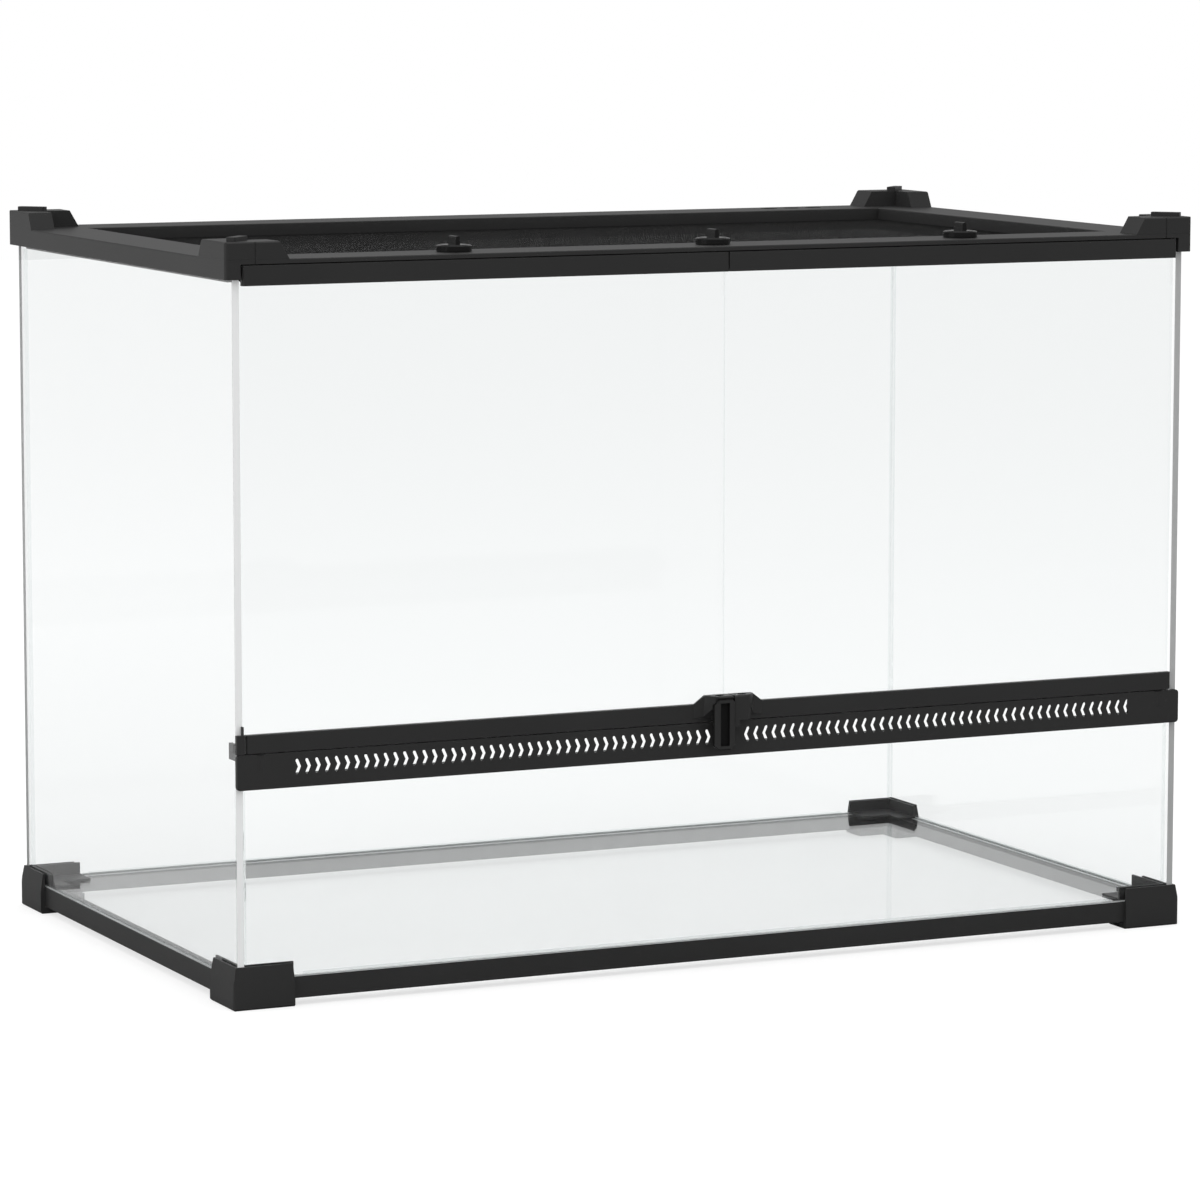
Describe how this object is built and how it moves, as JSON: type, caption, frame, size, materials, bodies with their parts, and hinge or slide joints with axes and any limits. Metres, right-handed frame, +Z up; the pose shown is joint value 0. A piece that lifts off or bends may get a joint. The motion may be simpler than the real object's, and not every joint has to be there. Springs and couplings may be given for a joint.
{
  "type": "reptile terrarium",
  "caption": "Glass terrarium on corner feet with front doors hinged at the sides, a slotted vent strip, a lift-out screen lid held by turn latches, and stacking corner blocks.",
  "frame": {"origin": "on the ground, at the middle of the whole footprint with the door pull counted in", "axes": "+Z up, -Y towards the front with the doors, +X to the right seen from the front"},
  "size_m": [0.6, 0.3626, 0.4193],
  "materials": {
    "pane_glass": "polished float glass",
    "frame_plastic": "moulded, fine satin grain",
    "door_plastic": "moulded, satin",
    "latch_plastic": "moulded, semi-gloss",
    "pin_plastic": "smooth acetal",
    "screw_steel": "zinc plated",
    "sealant": "clear cured silicone",
    "lid_metal": "black powder coat",
    "screen_wire": "black coated woven wire",
    "spline_rubber": "ribbed cord"
  },
  "bodies": {
    "tank": {"floor_glass": "pane_glass", "left_wall_glass": "pane_glass", "right_wall_glass": "pane_glass", "rear_wall_glass": "pane_glass", "front_pane_glass": "pane_glass", "base_rail_front": "frame_plastic", "base_rail_rear": "frame_plastic", "base_rail_left": "frame_plastic", "base_rail_right": "frame_plastic", "foot_front_left": "frame_plastic", "foot_front_right": "frame_plastic", "foot_rear_left": "frame_plastic", "foot_rear_right": "frame_plastic", "floor_corner_clips": "frame_plastic", "corner_seals": "sealant", "floor_seals": "sealant", "top_rail_front": "frame_plastic", "top_rail_rear": "frame_plastic", "top_rail_left": "frame_plastic", "top_rail_right": "frame_plastic", "block_front_left": "frame_plastic", "block_front_right": "frame_plastic", "block_rear_left": "frame_plastic", "block_rear_right": "frame_plastic", "vent_strip": "frame_plastic", "strip_clips": "frame_plastic"},
    "left_door": {"left_door_glass": "pane_glass", "left_door_top_rail": "door_plastic", "left_door_lower_rail": "door_plastic", "left_door_pins": "pin_plastic", "door_pull": "door_plastic"},
    "right_door": {"right_door_glass": "pane_glass", "right_door_top_rail": "door_plastic", "right_door_lower_rail": "door_plastic", "right_door_pins": "pin_plastic"},
    "latch_left": {"latch_left_knob": "latch_plastic", "latch_left_tongue": "latch_plastic", "latch_left_screw": "screw_steel"},
    "latch_middle": {"latch_middle_knob": "latch_plastic", "latch_middle_tongue": "latch_plastic", "latch_middle_screw": "screw_steel"},
    "latch_right": {"latch_right_knob": "latch_plastic", "latch_right_tongue": "latch_plastic", "latch_right_screw": "screw_steel"},
    "lid": {"lid_bar_front": "lid_metal", "lid_bar_rear": "lid_metal", "lid_bar_left": "lid_metal", "lid_bar_right": "lid_metal", "lid_corner_keys": "pin_plastic", "lid_spline": "spline_rubber", "lid_screen": "screen_wire"}
  },
  "joints": [
    {"name": "left_door_hinge", "type": "hinge", "parent": "tank", "child": "left_door", "pos_m": [-0.2816, -0.1663, 0.27], "axis": [0, 0, -1], "range_deg": [0, 110]},
    {"name": "right_door_hinge", "type": "hinge", "parent": "tank", "child": "right_door", "pos_m": [0.2816, -0.1663, 0.27], "axis": [0, 0, 1], "range_deg": [0, 110]},
    {"name": "left_latch_turn", "type": "hinge", "parent": "tank", "child": "latch_left", "pos_m": [-0.158, -0.1506, 0.4074], "axis": [0, 0, 1], "range_deg": [0, 90]},
    {"name": "middle_latch_turn", "type": "hinge", "parent": "tank", "child": "latch_middle", "pos_m": [0, -0.1506, 0.4074], "axis": [0, 0, 1], "range_deg": [0, 90]},
    {"name": "right_latch_turn", "type": "hinge", "parent": "tank", "child": "latch_right", "pos_m": [0.158, -0.1506, 0.4074], "axis": [0, 0, 1], "range_deg": [0, 90]},
    {"name": "lid_lift", "type": "slide", "parent": "tank", "child": "lid", "axis": [0, 0, 1], "range_m": [0, 0.12]}
  ]
}
